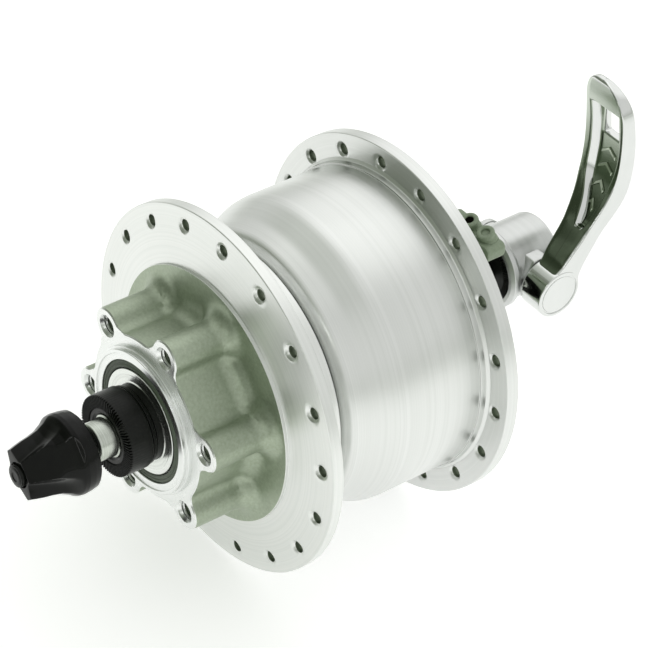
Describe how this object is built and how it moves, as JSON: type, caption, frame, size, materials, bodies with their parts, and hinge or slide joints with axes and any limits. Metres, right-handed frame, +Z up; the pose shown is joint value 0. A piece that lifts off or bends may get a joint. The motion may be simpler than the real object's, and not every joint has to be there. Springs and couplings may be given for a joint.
{
  "type": "hub dynamo",
  "caption": "Front bicycle hub with a generator in its drum, two spoke flanges, a six-bolt disc mount and a quick-release skewer with cam lever.",
  "frame": {"origin": "the wheel's centre on the axle, midway between the two locknut faces", "axes": "+Y along the axle towards the disc side, +Z up towards the plug socket and the lever's tip"},
  "size_m": [0.088, 0.1584, 0.0942],
  "materials": {
    "turned_alloy": "fine turned satin",
    "cast_alloy": "bead blasted, matte",
    "cover_alloy": "satin",
    "housing_alloy": "polished satin",
    "lever_chrome": "polished",
    "axle_steel": "ground, zinc plated",
    "bearing_steel": "polished",
    "cover_steel": "pressed bright sheet",
    "black_steel": "black oxide, satin",
    "seal_rubber": "matte",
    "nut_plastic": "moulded gloss",
    "socket_plastic": "moulded matte",
    "bobbin_plastic": "moulded",
    "cage_plastic": "moulded",
    "contact_brass": "drawn",
    "winding_copper": "enamelled wire",
    "core_iron": "pressed sheet",
    "magnet_ferrite": "sintered",
    "lead_insulation": "extruded"
  },
  "bodies": {
    "axle": {"axle": "axle_steel", "left_cone": "black_steel", "right_cone": "black_steel", "left_dust_cover": "cover_steel", "left_spacer": "black_steel", "right_spacer": "black_steel", "left_locknut": "black_steel", "right_locknut": "black_steel", "stator_core_left": "core_iron", "stator_core_right": "core_iron", "coil_bobbin": "bobbin_plastic", "coil_winding": "winding_copper", "stator_nut_left": "axle_steel", "stator_nut_right": "axle_steel", "lead_wire": "lead_insulation", "connector_body": "socket_plastic", "connector_contacts": "contact_brass"},
    "shell": {"disc_mount": "cast_alloy", "drum_shell": "turned_alloy", "end_cover": "cover_alloy", "shell_ring": "seal_rubber", "magnet_yoke": "core_iron", "magnets": "magnet_ferrite", "left_cup": "bearing_steel", "right_cup": "bearing_steel", "left_seal": "seal_rubber", "right_seal": "seal_rubber"},
    "left_ball_set": {"left_balls": "bearing_steel", "left_ball_cage": "cage_plastic"},
    "right_ball_set": {"right_balls": "bearing_steel", "right_ball_cage": "cage_plastic"},
    "cam_end": {"cam_housing": "housing_alloy", "grip_ring": "black_steel"},
    "lever": {"lever": "lever_chrome", "cam_shaft": "axle_steel", "shaft_clip": "bearing_steel"},
    "skewer": {"skewer_rod": "axle_steel"},
    "nut_end": {"adjusting_nut": "nut_plastic", "nut_insert": "axle_steel"}
  },
  "joints": [
    {"name": "shell_spin", "type": "hinge", "parent": "axle", "child": "shell", "pos_m": [0, 0, 0], "axis": [0, 1, 0], "continuous": true},
    {"name": "left_balls_roll", "type": "hinge", "parent": "axle", "child": "left_ball_set", "pos_m": [0, 0.035, 0], "axis": [0, 1, 0], "continuous": true},
    {"name": "right_balls_roll", "type": "hinge", "parent": "axle", "child": "right_ball_set", "pos_m": [0, -0.035, 0], "axis": [0, 1, 0], "continuous": true},
    {"name": "skewer_turn", "type": "hinge", "parent": "axle", "child": "cam_end", "pos_m": [0, -0.058, 0], "axis": [0, 1, 0], "continuous": true},
    {"name": "lever_pivot", "type": "hinge", "parent": "cam_end", "child": "lever", "pos_m": [0, -0.0661, 0], "axis": [1, 0, 0], "range_deg": [0, 180]},
    {"name": "skewer_pull", "type": "slide", "parent": "cam_end", "child": "skewer", "axis": [0, 1, 0], "range_m": [0, 0.0018]},
    {"name": "nut_turn", "type": "hinge", "parent": "skewer", "child": "nut_end", "pos_m": [0, 0.0569, 0], "axis": [0, 1, 0], "continuous": true}
  ],
  "couplings": [
    {"joint": "left_balls_roll", "follows": "shell_spin", "ratio": 0.5979},
    {"joint": "right_balls_roll", "follows": "shell_spin", "ratio": 0.5979},
    {"joint": "skewer_pull", "follows": "lever_pivot", "m_per_rad": 0.000572}
  ]
}
